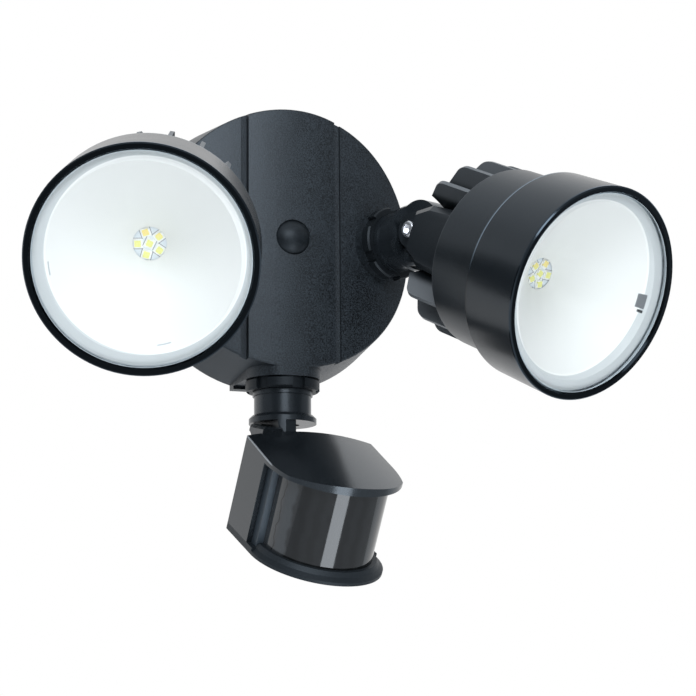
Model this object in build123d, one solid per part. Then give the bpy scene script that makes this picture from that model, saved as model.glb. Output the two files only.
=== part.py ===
from build123d import *
import os
from math import cos, radians, sin, sqrt

# Motion sensor security light: two finned LED heads and a hooded sensor on a round wall canopy.
# Millimetres. X runs to the right, -Y faces the viewer, +Z is up.
# The origin is the centre of the canopy's back face, in the plane of the wall.

# ---------------------------------------------------------------- shared fits
RUN_GAP = 0.08         # radial clearance of a pin or thread that turns in its hole
FACE_GAP = 0.15        # axial clearance between faces that slide on each other
FREE_GAP = 0.4         # clearance between curved faces that pass each other
TRIM_GAP = 0.2         # clearance round a piece that drops into a pocket
OVERCUT = 1.0          # how far a cutting solid runs past the face it opens

# ---------------------------------------------------------------- canopy
CANOPY_BACK_R = 65.3
CANOPY_FRONT_R = 60.2
CANOPY_DEPTH = 42.4
CANOPY_WALL = 2.6
CROWN_DROP = 2.0       # how far the centre band falls back at its long edges
BAND_HALF = 20.8       # half width of the raised centre band
GROOVE_WIDTH = 3.3
GROOVE_DEPTH = 1.8
SIDE_STEP = 1.6        # the side panels start this far behind the band's edge
SIDE_MID_X = 45.0
SIDE_MID_DROP = 8.2
SIDE_END_X = 62.0
SIDE_END_DROP = 15.3
EDGE_ROUND = 0.8

GASKET_THICK = 1.5
GASKET_INSET = 0.8
GASKET_WIDTH = 5.0

STRAP_LENGTH = 104.0
STRAP_WIDTH = 19.0
STRAP_THICK = 2.0
STRAP_SETBACK = 0.0    # from the wall plane to the strap's back face
BOX_HOLE_PITCH = 88.9  # 3.5 inch screw spacing of a round junction box
BOX_SLOT_LENGTH = 11.0
BOX_SLOT_WIDTH = 4.6

BOLT_R = 2.4
BOLT_HEAD_R = 4.6
BOLT_HEAD_H = 3.0
BOLT_COUNTERBORE_R = 6.6
BOLT_COUNTERBORE_DEPTH = 6.0
BOLT_TUBE_R = 8.4
BOLT_TUBE_GAP = 0.2    # from the strap to the end of the bolt tube
PLUG_R = 8.0
PLUG_DOME = 3.0
PLUG_FLANGE = 1.0
PLUG_STEM = 1.8

BOARD_WIDTH = 46.0
BOARD_HEIGHT = 50.0
BOARD_THICK = 1.6
BOARD_FRONT_GAP = 14.0  # from the band's front face back to the board
BOARD_STANDOFF_R = 3.0
BOARD_SCREW_R = 1.2
BOARD_SCREW_LENGTH = 8.0
BOARD_SCREW_GRIP = 5.0
BOARD_SCREW_HEAD_R = 2.4
BOARD_SCREW_HEAD_H = 1.6
BOARD_HOLE_X = 19.0
BOARD_HOLE_Z = 21.0
COMPONENT_MARGIN = 2.5  # from the board's edge, and between neighbouring components
RELAY_WIDTH = 9.0
RELAY_HEIGHT = 19.0
RELAY_DEPTH = 15.0
COIL_WIDTH = 10.0      # the transformer
COIL_HEIGHT = 18.0
COIL_DEPTH = 13.0
TERMINALS_WIDTH = 18.0
TERMINALS_HEIGHT = 9.0
TERMINALS_DEPTH = 9.0
CAPACITOR_R = 4.0
CAPACITOR_LENGTH = 12.0
SMALL_CAPACITOR_R = 2.5
SMALL_CAPACITOR_LENGTH = 8.0

# ---------------------------------------------------------------- arms, the same on all three
SEAT_TO_HINGE = 28.6   # from the face the locknut bears on to the hinge axis
SEAT_HEIGHT = 3.9      # the seat boss stands this far off the side panel
SEAT_R = 15.6
SENSOR_PAD_HALF = 17.6  # half width of the flat pad under the sensor's arm
THREAD_R = 10.3
THREAD_ENGAGE = 10.0   # thread length past the seat boss
WIRE_BORE_R = 6.0
WIRE_EXIT_R = 3.2
WIRE_EXIT_X = 5.0
NUT_THICK = 5.2
NUT_R = 17.0
NUT_VALLEY_R = 15.3
NUT_EDGE = 0.7
NUT_LOBES = 6
NUT_LOBE_ANGLE = 40.0
COLLAR_R = 13.7
COLLAR_LENGTH = 2.0
BARREL_R = 13.0
FLANGE_R = 15.4
FLANGE_BACK = 12.3     # flange faces, measured back from the hinge axis
FLANGE_FRONT = 8.6
FLANGE_CHAMFER = 1.4
TONGUE_INNER = 0.4     # tongue faces, measured sideways from the arm's axis
TONGUE_OUTER = 8.6
TONGUE_R = 14.4
LAP_THICK = 3.6        # the lap that the hinge screw clamps
EAR_THICK = 9.4        # the ear ahead of the lap
EAR_END_R = 8.1
EAR_STEP = 4.2         # a head's ear is full thickness from this far ahead of the hinge
EAR_STEP_HALF = 9.2    # half height of the ear at that step
EAR_SHOULDER = 14.0    # the ear widens up to this far ahead of the hinge
EAR_SHOULDER_HALF = 14.2
EAR_HALF = 16.0        # half height of a head's ear where it meets the drum
EAR_BEVEL = 2.5
SENSOR_EAR_STEP = -1.0  # behind the hinge
SENSOR_EAR_STEP_HALF = 7.9
SENSOR_EAR_SHOULDER = 6.0
SENSOR_EAR_SHOULDER_HALF = 9.7
SENSOR_EAR_HALF = 11.8
SENSOR_EAR_BEVEL = 1.2
HINGE_SCREW_R = 2.5
HINGE_HEAD_R = 3.8
HINGE_HEAD_H = 2.6
HINGE_SOCKET = 4.0     # across the flats of the screw's hexagon socket
HINGE_SOCKET_DEPTH = 1.5
HINGE_POCKET_R = 5.2
HINGE_NUT_FLATS = 8.0
HINGE_NUT_THICK = 4.0
HINGE_SCREW_END = 0.6

# where the head arms leave the side panels, and where they point
ARM_FOOT_X = 46.7
ARM_FOOT_DROP = 9.0    # the foot's distance behind the crown of the canopy
ARM_HEIGHT = 1.0
ARM_AZIMUTH = 21.3
HEAD_TILT = 25.0
THREAD_BOSS_R = 14.0
THREAD_BOSS_LENGTH = 10.0

# ---------------------------------------------------------------- lamp heads
HEAD_OFFSET = 8.3      # the head's axis stands this far outboard of the arm's axis
RIM_FORWARD = 100.0    # from the hinge axis to the rim plane
RIM_R = 47.2           # outer radius of the front rim
RIM_TAPER = 1.0        # the bezel narrows by this much towards its rear edge
RIM_CHAMFER = 0.8
RIM_FACE = 0.5
BEZEL_LENGTH = 30.0
BEZEL_WALL = 1.1       # at the bezel's rear edge
BEZEL_REAR_R = RIM_R - RIM_TAPER
BEZEL_BORE_R = BEZEL_REAR_R - BEZEL_WALL
LENS_R = BEZEL_BORE_R - RUN_GAP
LENS_SET = 1.0
LENS_THICK = 2.5
RIM_LIP = 0.3          # the rim laps over the lens by this much
RIM_LIP_R = LENS_R - RIM_LIP
LENS_GASKET_WIDTH = 1.1
LENS_GASKET_THICK = 1.0
REFLECTOR_FLANGE_R = LENS_R - LENS_GASKET_WIDTH - RUN_GAP
REFLECTOR_FLANGE_WIDTH = 4.5
REFLECTOR_FLANGE_THICK = 0.9
REFLECTOR_R = REFLECTOR_FLANGE_R - REFLECTOR_FLANGE_WIDTH
REFLECTOR_LEDGE = 1.6  # width of the housing's edge that carries the reflector flange
REFLECTOR_HOLE_R = 7.0
REFLECTOR_WALL = 1.6
DRUM_SET_IN = 4.9      # the drum stands this far inside the bezel
DRUM_TAPER = 0.4
DRUM_FRONT_R = BEZEL_REAR_R - DRUM_SET_IN
DRUM_REAR_R = DRUM_FRONT_R - DRUM_TAPER
DRUM_REAR = 58.6       # the drum's rear edge, measured back from the rim plane
DRUM_WALL = 2.8
DRUM_STEP = 0.4        # the drum's shoulder lies this far inside the bezel's rear edge
BOARD_PLANE = 34.6     # front face of the LED board, measured back from the rim plane
LED_BOARD_R = 12.0
LED_BOARD_THICK = 1.6
LED_SIZE = 3.0
LED_THICK = 0.8
LED_RING_R = 4.9
LED_RING_COUNT = 5
LED_RING_START = 18.0
CORE_R = 15.0

FIN_COUNT = 18
FIN_THICK = 1.8
FIN_SET_IN = 0.4       # the fins stand this far inside the drum
FIN_OUTER_R = DRUM_REAR_R - FIN_SET_IN
FIN_CORNER_BACK = 79.5  # fin outline, measured back from the rim plane
FIN_TAIL_R = 24.2
FIN_TAIL_BACK = 95.0
FIN_ROUND = 10.0
FIN_SKIP = 1           # fins left out on each side of the ear, besides the one behind it
FIN_FLOOR_STEP = 4.9   # the floor between the fins stands this far inside the drum
FIN_FLOOR_R = DRUM_REAR_R - FIN_FLOOR_STEP
FIN_FLOOR_THICK = 3.4
HUB_R = 14.0
HUB_BACK = 79.0
SWING_R = 20.3         # the fins are swept clear of the arm's flange, round the hinge axis
SENSOR_SWING_R = 15.7  # the sensor is swept clear of the arm's tongue and its neck

# ---------------------------------------------------------------- sensor
SENSOR_ARM_Y = -26.0
SENSOR_SEAT_Z = -63.9
SENSOR_YAW = 7.5
SENSOR_PITCH = 29.3
SENSOR_OFFSET = 6.4    # sensor centre plane, sideways from the arm's axis
SENSOR_BACK = 12.8     # rear wall, forward of the hinge axis
SENSOR_TOP = 7.8       # top edge, above the hinge axis
SENSOR_WIDTH = 62.4
SENSOR_HEIGHT = 45.3
SENSOR_FLAT = 28.6     # flat side length, from the rear wall to the front half round
SENSOR_WALL = 2.2
SENSOR_REAR_BLOCK = 3.2  # extra thickness of the rear wall behind the hinge
HOOD_CROWN = 3.7
HOOD_SLOPE = 4.2       # the hood falls towards its front by this angle
HOOD_EDGE_DROP = 0.6   # side edges at the rear, below SENSOR_TOP
HOOD_UNDER = 4.8       # flat underside, below SENSOR_TOP
HOOD_STRAIGHT = 23.2   # straight part of the hood's sides, from the rear wall
HOOD_CORNER_BACK = 41.0  # the hood's front corners, from the rear wall
HOOD_CORNER_HALF = 28.2
HOOD_CORNER_R = 3.0
HOOD_LENGTH = 56.4
SIDE_LENGTH = 22.2     # plain side wall, from the rear wall to the side slot
FRAME_MARGIN = 0.4     # between the lens frame and the housing's inside
FRAME_LEG = 4.4
FRAME_BACK = 17.2      # lens frame faces, forward of the rear wall
FRAME_FRONT = 27.2
FRAME_RAIL = 3.5
PIR_LENS_R = 25.5
PIR_LENS_WALL = 1.2
BASE_THICK = 3.0
BASE_EDGE = 1.5        # height of the base's upright outer edge
BASE_SLOPE_R = 28.9    # the base slopes from its outer edge up to this radius
BASE_COLLAR_R = 27.6   # collar round the foot of the lens
BASE_COLLAR_HEIGHT = 2.0

DIAL_R = 4.2
DIAL_HEIGHT = 3.0
DIAL_WELL_GAP = 0.5
DIAL_SPACING = 15.0
DIAL_COUNT = 3
DIAL_SETBACK = 8.9     # dial row, forward of the rear wall
DIAL_SLOT_WIDTH = 1.0
DIAL_SLOT_DEPTH = 1.0
DIAL_SHAFT_R = 1.5
DIAL_CUP_WALL = 1.8
DIAL_CUP_FLOOR = 2.0
DIAL_RECESS = 0.2

CASE_SCREW_R = 1.2
CASE_SCREW_HEAD_R = 2.4
CASE_SCREW_HEAD_H = 1.4
CASE_SCREW_LENGTH = 9.0
CASE_POST_R = 3.4
CASE_POST_HEIGHT = 12.0

SENSOR_BOARD_THICK = 1.6
PIR_CAN_R = 4.6
PIR_CAN_HEIGHT = 4.2
PIR_CAN_RIM = 0.6


# ---------------------------------------------------------------- small tools
def about_y(points, arc=360.0):
    """Revolve a closed outline of (radius, y) points about the Y axis."""
    face = make_face(Polyline(*points, close=True))
    return revolve(face, Axis.Y, revolution_arc=arc)


def rod_y(radius, y_from, y_to, x=0.0, z=0.0):
    """A round bar along Y between two y positions."""
    length = abs(y_to - y_from)
    return Pos(x, (y_from + y_to) / 2, z) * Rot(90, 0, 0) * Cylinder(radius, length)


def rod_x(radius, x_from, x_to, y=0.0, z=0.0):
    """A round bar along X between two x positions."""
    length = abs(x_to - x_from)
    return Pos((x_from + x_to) / 2, y, z) * Rot(0, 90, 0) * Cylinder(radius, length)


def rod_z(radius, z_from, z_to, x=0.0, y=0.0):
    """A round bar along Z between two z positions."""
    length = abs(z_to - z_from)
    return Pos(x, y, (z_from + z_to) / 2) * Cylinder(radius, length)


def block(x_from, x_to, y_from, y_to, z_from, z_to):
    """A rectangular block between two corners."""
    size = (abs(x_to - x_from), abs(y_to - y_from), abs(z_to - z_from))
    middle = Pos((x_from + x_to) / 2, (y_from + y_to) / 2, (z_from + z_to) / 2)
    return middle * Box(*size)


def one_piece(shape):
    """The largest solid of a boolean result."""
    return max(shape.solids(), key=lambda solid: solid.volume)


def mirrored(shape):
    return mirror(shape, about=Plane.YZ)


# ---------------------------------------------------------------- canopy
def front_profile(inset=0.0):
    """Everything behind the canopy's front: crowned band, two grooves, two convex side panels."""
    edge_y = -(CANOPY_DEPTH - CROWN_DROP) + inset
    panel_y = edge_y + SIDE_STEP
    groove_y = panel_y + GROOVE_DEPTH
    panel_x = BAND_HALF + GROOVE_WIDTH
    mid_y = -(CANOPY_DEPTH - SIDE_MID_DROP) + inset
    end_y = -(CANOPY_DEPTH - SIDE_END_DROP) + inset
    far_x = CANOPY_BACK_R + 2 * OVERCUT
    far_y = end_y + (far_x - SIDE_END_X) * (end_y - mid_y) / (SIDE_END_X - SIDE_MID_X)
    inner_x = panel_x if inset == 0.0 else panel_x + CANOPY_WALL
    lines = [ThreePointArc((-BAND_HALF, edge_y), (0, -CANOPY_DEPTH + inset), (BAND_HALF, edge_y))]
    for side in (1, -1):
        band = (side * BAND_HALF, edge_y)
        floor = (side * BAND_HALF, groove_y)
        corner = (side * inner_x, groove_y)
        panel = (side * inner_x, panel_y)
        mid = (side * SIDE_MID_X, mid_y)
        end = (side * SIDE_END_X, end_y)
        far = (side * far_x, far_y)
        lines.append(Polyline(band, floor, corner, panel))
        lines.append(ThreePointArc(panel, mid, end))
        lines.append(Polyline(end, far, (side * far_x, OVERCUT)))
    lines.append(Line((far_x, OVERCUT), (-far_x, OVERCUT)))
    reach = CANOPY_BACK_R + OVERCUT
    return Pos(0, 0, -reach) * extrude(make_face(lines), 2 * reach, dir=(0, 0, 1))


def arm_place():
    """The right-hand arm's hinge point; the arm's own -Y runs outward along its axis."""
    reach = SEAT_HEIGHT + SEAT_TO_HINGE
    hinge_x = ARM_FOOT_X + reach * sin(radians(ARM_AZIMUTH))
    hinge_y = ARM_FOOT_DROP - CANOPY_DEPTH - reach * cos(radians(ARM_AZIMUTH))
    return Pos(hinge_x, hinge_y, ARM_HEIGHT) * Rot(0, 0, ARM_AZIMUTH)


def sensor_arm_place():
    """The sensor arm's hinge point; the arm's own -Y runs straight down."""
    return Pos(0, SENSOR_ARM_Y, SENSOR_SEAT_Z - SEAT_TO_HINGE) * Rot(0, 0, SENSOR_YAW) * Rot(90, 0, 0)


def canopy_drum(wall, back):
    """The canopy's tapered drum, less a wall thickness, starting at a back plane."""
    taper = (CANOPY_BACK_R - CANOPY_FRONT_R) / CANOPY_DEPTH
    back_r = CANOPY_BACK_R - wall + taper * back
    front_r = CANOPY_FRONT_R - wall
    return about_y([(0, back), (back_r, back), (front_r, -CANOPY_DEPTH), (0, -CANOPY_DEPTH)])


def seat_boss():
    """Raised seat under a locknut, with the threaded boss behind it."""
    seat = rod_y(SEAT_R, SEAT_TO_HINGE, SEAT_TO_HINGE + SEAT_HEIGHT + 4 * OVERCUT)
    return seat + rod_y(THREAD_BOSS_R, SEAT_TO_HINGE, SEAT_TO_HINGE + SEAT_HEIGHT + THREAD_BOSS_LENGTH)


def thread_bore():
    depth = SEAT_HEIGHT + THREAD_BOSS_LENGTH + OVERCUT
    return rod_y(THREAD_R + RUN_GAP, SEAT_TO_HINGE - OVERCUT, SEAT_TO_HINGE + depth)


def board_corners():
    return [(x, z) for x in (-BOARD_HOLE_X, BOARD_HOLE_X) for z in (-BOARD_HOLE_Z, BOARD_HOLE_Z)]


def front_rim(shell):
    """Edges where the tapered drum meets the front of the canopy, groove ends left out."""
    edges = []
    for edge in shell.edges():
        middle = edge @ 0.5
        radius = sqrt(middle.X ** 2 + middle.Z ** 2)
        taper_r = CANOPY_BACK_R + (CANOPY_BACK_R - CANOPY_FRONT_R) * middle.Y / CANOPY_DEPTH
        in_groove = BAND_HALF - OVERCUT < abs(middle.X) < BAND_HALF + GROOVE_WIDTH + OVERCUT
        if middle.Y < -CANOPY_DEPTH / 4 and abs(radius - taper_r) < RUN_GAP and not in_groove:
            edges.append(edge)
    return edges


def canopy_housing():
    rim = -GASKET_THICK
    shell = one_piece(canopy_drum(0, rim) & front_profile())
    shell = fillet(front_rim(shell), EDGE_ROUND)
    shell -= canopy_drum(CANOPY_WALL, OVERCUT) & front_profile(CANOPY_WALL)
    boss_top = SENSOR_SEAT_Z + THREAD_BOSS_LENGTH
    half = SENSOR_PAD_HALF
    pad = block(-half, half, SENSOR_ARM_Y, rim, SENSOR_SEAT_Z, boss_top)
    pad += block(-half, half, SENSOR_ARM_Y + half + OVERCUT, rim, -CANOPY_BACK_R, boss_top)
    pad += rod_z(half, SENSOR_SEAT_Z, boss_top, 0, SENSOR_ARM_Y)
    pad += sensor_arm_place() * seat_boss()
    shell += pad & front_profile()
    shell += arm_place() * seat_boss()
    shell += mirrored(arm_place() * seat_boss())
    tube_end = -(STRAP_SETBACK + STRAP_THICK + BOLT_TUBE_GAP)
    shell += rod_y(BOLT_TUBE_R, tube_end, CANOPY_WALL - CANOPY_DEPTH - OVERCUT)
    shell -= arm_place() * thread_bore()
    shell -= mirrored(arm_place() * thread_bore())
    shell -= sensor_arm_place() * thread_bore()
    shell -= sensor_arm_place() * rod_y(NUT_R + FREE_GAP, SEAT_TO_HINGE - 2 * OVERCUT, SEAT_TO_HINGE)
    shell -= rod_y(BOLT_R + TRIM_GAP, tube_end + OVERCUT, -CANOPY_DEPTH - OVERCUT)
    shell -= rod_y(BOLT_COUNTERBORE_R, -CANOPY_DEPTH - OVERCUT, -CANOPY_DEPTH + BOLT_COUNTERBORE_DEPTH)
    shell -= rod_y(PLUG_R + TRIM_GAP, -CANOPY_DEPTH - OVERCUT, -CANOPY_DEPTH + PLUG_FLANGE)
    return one_piece(shell)


def wall_gasket():
    outer = CANOPY_BACK_R - GASKET_INSET
    return rod_y(outer, 0, -GASKET_THICK) - rod_y(outer - GASKET_WIDTH, OVERCUT, -GASKET_THICK - OVERCUT)


def mounting_strap():
    front = -STRAP_SETBACK - STRAP_THICK
    bar = block(-STRAP_LENGTH / 2, STRAP_LENGTH / 2, -STRAP_SETBACK, front, -STRAP_WIDTH / 2, STRAP_WIDTH / 2)
    upright = [edge for edge in bar.edges() if abs(edge.tangent_at(0.5).Y) > 0.9]
    bar = fillet(upright, STRAP_WIDTH / 5)
    for side in (-1, 1):
        slot = SlotOverall(BOX_SLOT_LENGTH, BOX_SLOT_WIDTH)
        cutter = extrude(slot, STRAP_THICK + OVERCUT, both=True)
        bar -= Pos(side * BOX_HOLE_PITCH / 2, -STRAP_SETBACK, 0) * Rot(90, 0, 0) * cutter
    return bar - rod_y(BOLT_R + RUN_GAP, OVERCUT, front - OVERCUT)


def mounting_bolt():
    seat = BOLT_COUNTERBORE_DEPTH - CANOPY_DEPTH
    bolt = rod_y(BOLT_R, seat, -STRAP_SETBACK - FACE_GAP) + rod_y(BOLT_HEAD_R, seat, seat - BOLT_HEAD_H)
    return bolt - cross_recess(BOLT_HEAD_R, seat - BOLT_HEAD_H)


def cross_recess(head_r, face_y):
    """A cross slot sunk into a screw head whose face looks along -Y."""
    arm = head_r * 0.62
    half = head_r * 0.14
    depth = head_r * 0.35
    cut = block(-arm, arm, face_y - OVERCUT, face_y + depth, -half, half)
    return cut + block(-half, half, face_y - OVERCUT, face_y + depth, -arm, arm)


def bolt_plug():
    face = PLUG_FLANGE - CANOPY_DEPTH
    rise = PLUG_DOME + PLUG_FLANGE
    radius = (PLUG_R ** 2 + rise ** 2) / (2 * rise)
    dome = Pos(0, face + radius - rise, 0) * Sphere(radius)
    cap = dome & rod_y(PLUG_R, face, face - rise - OVERCUT)
    stem = rod_y(BOLT_COUNTERBORE_R - TRIM_GAP / 2, face, face + PLUG_STEM)
    return cap + stem - rod_y(BOLT_COUNTERBORE_R * 0.6, face + OVERCUT, face + PLUG_STEM + OVERCUT)


def control_board():
    front = BOARD_FRONT_GAP - CANOPY_DEPTH
    half_w = BOARD_WIDTH / 2
    board = block(-half_w, half_w, front, front + BOARD_THICK, -BOARD_HEIGHT / 2, BOARD_HEIGHT / 2)
    board -= rod_y(BOLT_TUBE_R + FREE_GAP, front - OVERCUT, front + BOARD_THICK + OVERCUT)
    for x, z in board_corners():
        board -= rod_y(BOARD_SCREW_R + RUN_GAP, front - OVERCUT, front + BOARD_THICK + OVERCUT, x, z)
    return board


def board_components():
    """Relay, transformer, two capacitors and a terminal block on the back of the control board."""
    face = BOARD_FRONT_GAP - CANOPY_DEPTH + BOARD_THICK
    edge = BOARD_WIDTH / 2 - COMPONENT_MARGIN
    base = COMPONENT_MARGIN - BOARD_HEIGHT / 2
    row = base + TERMINALS_HEIGHT
    half = TERMINALS_WIDTH / 2
    terminals = block(-half, half, face, face + TERMINALS_DEPTH, base, row)
    relay = block(-edge, RELAY_WIDTH - edge, face, face + RELAY_DEPTH, row, row + RELAY_HEIGHT)
    transformer = block(edge - COIL_WIDTH, edge, face, face + COIL_DEPTH, row, row + COIL_HEIGHT)
    large_z = row + COIL_HEIGHT + CAPACITOR_R + COMPONENT_MARGIN
    large = rod_y(CAPACITOR_R, face, face + CAPACITOR_LENGTH, edge - CAPACITOR_R, large_z)
    small_z = row + RELAY_HEIGHT + SMALL_CAPACITOR_R + COMPONENT_MARGIN
    small = rod_y(SMALL_CAPACITOR_R, face, face + SMALL_CAPACITOR_LENGTH, RELAY_WIDTH / 2 - edge, small_z)
    return Compound([relay, transformer, large, small, terminals])


def board_standoffs():
    """Four spacers between the inside of the canopy's face and the control board."""
    board_y = BOARD_FRONT_GAP - CANOPY_DEPTH
    spacers = []
    for x, z in board_corners():
        spacer = rod_y(BOARD_STANDOFF_R, board_y, -CANOPY_DEPTH, x, z) & front_profile(CANOPY_WALL)
        spacers.append(spacer - rod_y(BOARD_SCREW_R, board_y + OVERCUT, board_y - BOARD_SCREW_LENGTH, x, z))
    return Compound(spacers)


def board_screws():
    face = BOARD_FRONT_GAP - CANOPY_DEPTH + BOARD_THICK
    screws = []
    for x, z in board_corners():
        head = rod_y(BOARD_SCREW_HEAD_R, face, face + BOARD_SCREW_HEAD_H, x, z)
        screws.append(head + rod_y(BOARD_SCREW_R, face, face - BOARD_THICK - BOARD_SCREW_GRIP, x, z))
    return Compound(screws)


# ---------------------------------------------------------------- arms
def arm_stem():
    """Hollow threaded stem, collar, barrel and flange, with a flat hinge tongue set off to one side."""
    nut_front = SEAT_TO_HINGE - NUT_THICK
    end = SEAT_TO_HINGE + SEAT_HEIGHT + THREAD_ENGAGE
    collar_back = nut_front - FACE_GAP
    outline = [
        (0, FLANGE_FRONT),
        (FLANGE_R, FLANGE_FRONT),
        (FLANGE_R, FLANGE_BACK - FLANGE_CHAMFER),
        (FLANGE_R - FLANGE_CHAMFER, FLANGE_BACK),
        (BARREL_R, FLANGE_BACK),
        (BARREL_R, collar_back - COLLAR_LENGTH),
        (COLLAR_R, collar_back - COLLAR_LENGTH),
        (COLLAR_R, collar_back),
        (THREAD_R, collar_back),
        (THREAD_R, end),
        (0, end),
    ]
    stem = about_y(outline)
    tongue = rod_x(TONGUE_R, -TONGUE_OUTER, -TONGUE_INNER)
    neck = block(-TONGUE_OUTER, -TONGUE_INNER, 0, FLANGE_FRONT + OVERCUT, -TONGUE_R, TONGUE_R)
    neck &= rod_y(FLANGE_R, 0, FLANGE_FRONT + OVERCUT)
    stem += tongue + neck
    stem -= rod_y(WIRE_BORE_R, end + OVERCUT, FLANGE_BACK + OVERCUT)
    stem -= rod_y(WIRE_EXIT_R, FLANGE_BACK + 2 * OVERCUT, FLANGE_FRONT - OVERCUT, WIRE_EXIT_X)
    return one_piece(stem - rod_x(HINGE_SCREW_R + RUN_GAP, -TONGUE_OUTER - OVERCUT, OVERCUT))


def arm_locknut():
    back = SEAT_TO_HINGE - FACE_GAP
    front = SEAT_TO_HINGE - NUT_THICK
    edge = NUT_EDGE
    outline = [
        (THREAD_R + RUN_GAP, front),
        (NUT_R - edge, front),
        (NUT_R, front + edge),
        (NUT_R, back - edge),
        (NUT_R - edge, back),
        (THREAD_R + RUN_GAP, back),
    ]
    nut = about_y(outline)
    step = 360.0 / NUT_LOBES
    valley = [
        (NUT_VALLEY_R, front - OVERCUT),
        (NUT_R + OVERCUT, front - OVERCUT),
        (NUT_R + OVERCUT, back + OVERCUT),
        (NUT_VALLEY_R, back + OVERCUT),
    ]
    notch = Rot(0, NUT_LOBE_ANGLE / 2, 0) * about_y(valley, arc=step - NUT_LOBE_ANGLE)
    return nut - [Rot(0, step * index, 0) * notch for index in range(NUT_LOBES)]


def lap_face():
    """The face under the hinge screw's head."""
    return -TONGUE_OUTER - FACE_GAP - LAP_THICK


def hinge_ear(end_y, outline, bevel):
    """Thin lap round the hinge, stepping up to a bevelled ear; outline is (y, half height) points."""
    upper = [*outline, (end_y, outline[-1][1])]
    ear = Polyline(*upper, *[(y, -half) for y, half in reversed(upper)], close=True)
    plate = extrude(Plane.YZ * make_face(ear), -EAR_THICK)
    rim = [edge for edge in plate.faces().sort_by(Axis.X)[0].edges() if edge.center().Y > end_y + OVERCUT]
    step_y, step_half = outline[0]
    root = Polyline((0, EAR_END_R), (step_y, step_half), (step_y, -step_half), (0, -EAR_END_R), close=True)
    lap = extrude(Plane.YZ * (make_face(root) + Circle(EAR_END_R)), -LAP_THICK)
    return Pos(-TONGUE_OUTER - FACE_GAP, 0, 0) * (chamfer(rim, bevel) + lap)


def hinge_bore():
    return rod_x(HINGE_SCREW_R, lap_face() - OVERCUT, -TONGUE_OUTER + OVERCUT)


def hinge_screw():
    seat = lap_face()
    end = HINGE_NUT_THICK + HINGE_SCREW_END
    head = rod_x(HINGE_HEAD_R, seat - HINGE_HEAD_H, seat)
    rims = head.faces().sort_by(Axis.X)[0].edges()
    head = fillet(rims, HINGE_HEAD_H / 3)
    hexagon = RegularPolygon(HINGE_SOCKET / 2, 6, major_radius=False)
    face = seat - HINGE_HEAD_H
    socket = Pos(face - OVERCUT, 0, 0) * extrude(Plane.YZ * hexagon, OVERCUT + HINGE_SOCKET_DEPTH)
    return head + rod_x(HINGE_SCREW_R, seat, end) - socket


def hinge_nut():
    inner = FACE_GAP - TONGUE_INNER
    hexagon = RegularPolygon(HINGE_NUT_FLATS / 2, 6, major_radius=False)
    nut = Pos(inner, 0, 0) * extrude(Plane.YZ * hexagon, HINGE_NUT_THICK)
    return nut - rod_x(HINGE_SCREW_R, inner - OVERCUT, inner + HINGE_NUT_THICK + OVERCUT)


# ---------------------------------------------------------------- lamp heads
def station(back):
    """Y position of a plane measured back from the rim plane."""
    return back - RIM_FORWARD


def turned(points):
    """A ring or disc about the head's axis, from (radius, distance behind the rim) points."""
    return Pos(HEAD_OFFSET, 0, 0) * about_y([(radius, station(back)) for radius, back in points])


def housing_mouth():
    return LENS_SET + LENS_THICK + LENS_GASKET_THICK


def bezel():
    return turned([
        (RIM_LIP_R, 0),
        (RIM_R - RIM_FACE, 0),
        (RIM_R, RIM_FACE),
        (BEZEL_REAR_R, BEZEL_LENGTH),
        (BEZEL_BORE_R, BEZEL_LENGTH),
        (BEZEL_BORE_R, LENS_SET),
        (RIM_LIP_R - RIM_CHAMFER, LENS_SET),
    ])


def lens():
    back = LENS_SET + LENS_THICK
    return turned([(0, LENS_SET), (LENS_R, LENS_SET), (LENS_R, back), (0, back)])


def lens_gasket():
    front = LENS_SET + LENS_THICK
    inner = LENS_R - LENS_GASKET_WIDTH
    return turned([(inner, front), (LENS_R, front), (LENS_R, housing_mouth()), (inner, housing_mouth())])


def reflector():
    mouth = housing_mouth()
    front = mouth - REFLECTOR_FLANGE_THICK + RUN_GAP
    tip = BOARD_PLANE - LED_THICK / 2
    return turned([
        (REFLECTOR_FLANGE_R, front),
        (REFLECTOR_R, front),
        (REFLECTOR_HOLE_R, tip),
        (REFLECTOR_HOLE_R + REFLECTOR_WALL, tip),
        (REFLECTOR_R + REFLECTOR_WALL, mouth),
        (REFLECTOR_FLANGE_R, mouth),
    ])


def led_board():
    back = BOARD_PLANE + LED_BOARD_THICK
    return turned([(0, BOARD_PLANE), (LED_BOARD_R, BOARD_PLANE), (LED_BOARD_R, back), (0, back)])


def led_chips():
    half = LED_SIZE / 2
    front = station(BOARD_PLANE - LED_THICK)
    chip = Pos(HEAD_OFFSET, 0, 0) * block(-half, half, front, station(BOARD_PLANE), -half, half)
    chips = [chip]
    for index in range(LED_RING_COUNT):
        turn = radians(360.0 * index / LED_RING_COUNT + LED_RING_START)
        chips.append(Pos(LED_RING_R * sin(turn), 0, LED_RING_R * cos(turn)) * chip)
    return Compound(chips)


def fin():
    """One radial cooling fin on the inner side, with a rounded corner and a sloping tail."""
    root = station(DRUM_REAR - OVERCUT)
    corner = (-FIN_OUTER_R, station(FIN_CORNER_BACK))
    outline = Polyline(
        (-HUB_R / 2, root),
        (-FIN_OUTER_R, root),
        corner,
        (-FIN_TAIL_R, station(FIN_TAIL_BACK)),
        (-HUB_R / 2, station(FIN_TAIL_BACK)),
        close=True,
    )
    face = make_face(outline)
    face = fillet(face.vertices().sort_by_distance((*corner, 0))[0], FIN_ROUND)
    return extrude(face, FIN_THICK / 2, both=True)


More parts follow.
